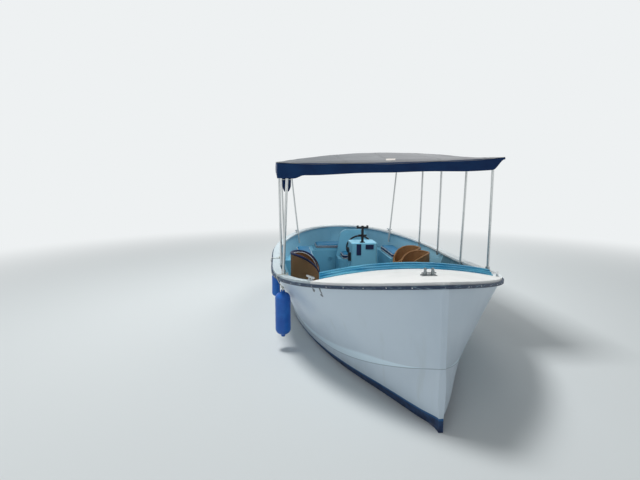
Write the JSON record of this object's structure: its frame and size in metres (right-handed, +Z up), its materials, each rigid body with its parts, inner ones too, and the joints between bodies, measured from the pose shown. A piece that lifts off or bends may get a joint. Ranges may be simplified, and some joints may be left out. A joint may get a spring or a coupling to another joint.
{
  "type": "small open motor launch with canopy",
  "caption": "Round-sterned open motor launch with a foredeck, centre helm console, cushioned benches, pedestal seats and a cloth canopy on hoops.",
  "frame": {"origin": "amidships on the centreline, at the waterline", "axes": "+X forward to the bow, +Y to port, +Z up"},
  "size_m": [5.398, 2.2519, 2.4036],
  "materials": {
    "hull_gelcoat": "white gelcoat, dark blue below the boot line",
    "deck_gelcoat": "white gelcoat",
    "rub_rail": "dark blue",
    "coaming_trim": "mid blue",
    "motor_paint": "grey paint",
    "marine_steel": "satin",
    "propeller_bronze": "satin bronze",
    "rudder_paint": "dark blue bottom paint",
    "sole_nonslip": "grey non-slip",
    "bench_gelcoat": "white gelcoat",
    "cushion_vinyl": "blue vinyl",
    "side_panel": "grey-green padded panel",
    "pedestal_metal": "satin",
    "tub_seat": "brown",
    "console_gelcoat": "white gelcoat",
    "console_panel": "dark blue",
    "wheel_rim": "black",
    "throttle_black": "black",
    "pole_aluminium": "bright anodised",
    "canopy_cloth": "grey canvas",
    "valance_cloth": "dark blue canvas",
    "fender_vinyl": "royal blue",
    "lanyard_rope": "white rope"
  },
  "bodies": {
    "boat": {"hull": "hull_gelcoat", "gunwale_cap": "deck_gelcoat", "rub_rail": "rub_rail", "foredeck": "deck_gelcoat", "foredeck_coaming": "coaming_trim", "keel": "hull_gelcoat", "motor": "motor_paint", "sole": "sole_nonslip", "side_bench_port": "bench_gelcoat", "side_bench_starboard": "bench_gelcoat", "side_cushion_port": "cushion_vinyl", "side_cushion_starboard": "cushion_vinyl", "stern_bench": "bench_gelcoat", "lid_hinges": "marine_steel", "side_panel_port": "side_panel", "side_panel_starboard": "side_panel", "seat_pedestals": "pedestal_metal", "tub_seat_port_forward": "tub_seat", "tub_seat_port_aft": "tub_seat", "tub_seat_starboard": "tub_seat", "console": "console_gelcoat", "console_panels": "console_panel", "steering_column": "marine_steel", "throttle": "throttle_black", "instrument_bracket": "throttle_black", "helm_seat": "bench_gelcoat", "helm_cushion": "cushion_vinyl", "canopy_top": "canopy_cloth", "canopy_valance": "valance_cloth", "canopy_hoop_1": "pole_aluminium", "canopy_hoop_2": "pole_aluminium", "canopy_hoop_3": "pole_aluminium", "canopy_hoop_4": "pole_aluminium", "canopy_hoop_5": "pole_aluminium", "hoop_sockets": "marine_steel", "rolled_curtain": "valance_cloth", "bow_bitt": "marine_steel", "mooring_cleats": "marine_steel", "fender_large": "fender_vinyl", "fender_small": "fender_vinyl", "lanyard_large": "lanyard_rope", "lanyard_small": "lanyard_rope"},
    "rudder": {"rudder": "rudder_paint"},
    "steering_wheel": {"steering_wheel": "wheel_rim"},
    "propeller": {"propeller": "propeller_bronze", "propeller_shaft": "marine_steel"},
    "locker_lid": {"locker_lid": "bench_gelcoat", "stern_cushion": "cushion_vinyl"}
  },
  "joints": [
    {"name": "rudder_swing", "type": "hinge", "parent": "boat", "child": "rudder", "pos_m": [-2.315, 0, -0.3], "axis": [0, 0, 1], "range_deg": [-35, 35]},
    {"name": "wheel_turn", "type": "hinge", "parent": "boat", "child": "steering_wheel", "pos_m": [-1.175, 0.105, 0.615], "axis": [-0.9397, 0, 0.342], "range_deg": [-425, 425]},
    {"name": "propeller_spin", "type": "hinge", "parent": "boat", "child": "propeller", "pos_m": [-2.025, 0, -0.33], "axis": [-0.985, 0, -0.1724], "continuous": true},
    {"name": "lid_hinge", "type": "hinge", "parent": "boat", "child": "locker_lid", "pos_m": [-2.3073, 0, 0.467], "axis": [0, -1, 0], "range_deg": [0, 80]}
  ],
  "couplings": [
    {"joint": "wheel_turn", "follows": "rudder_swing", "ratio": 12}
  ]
}
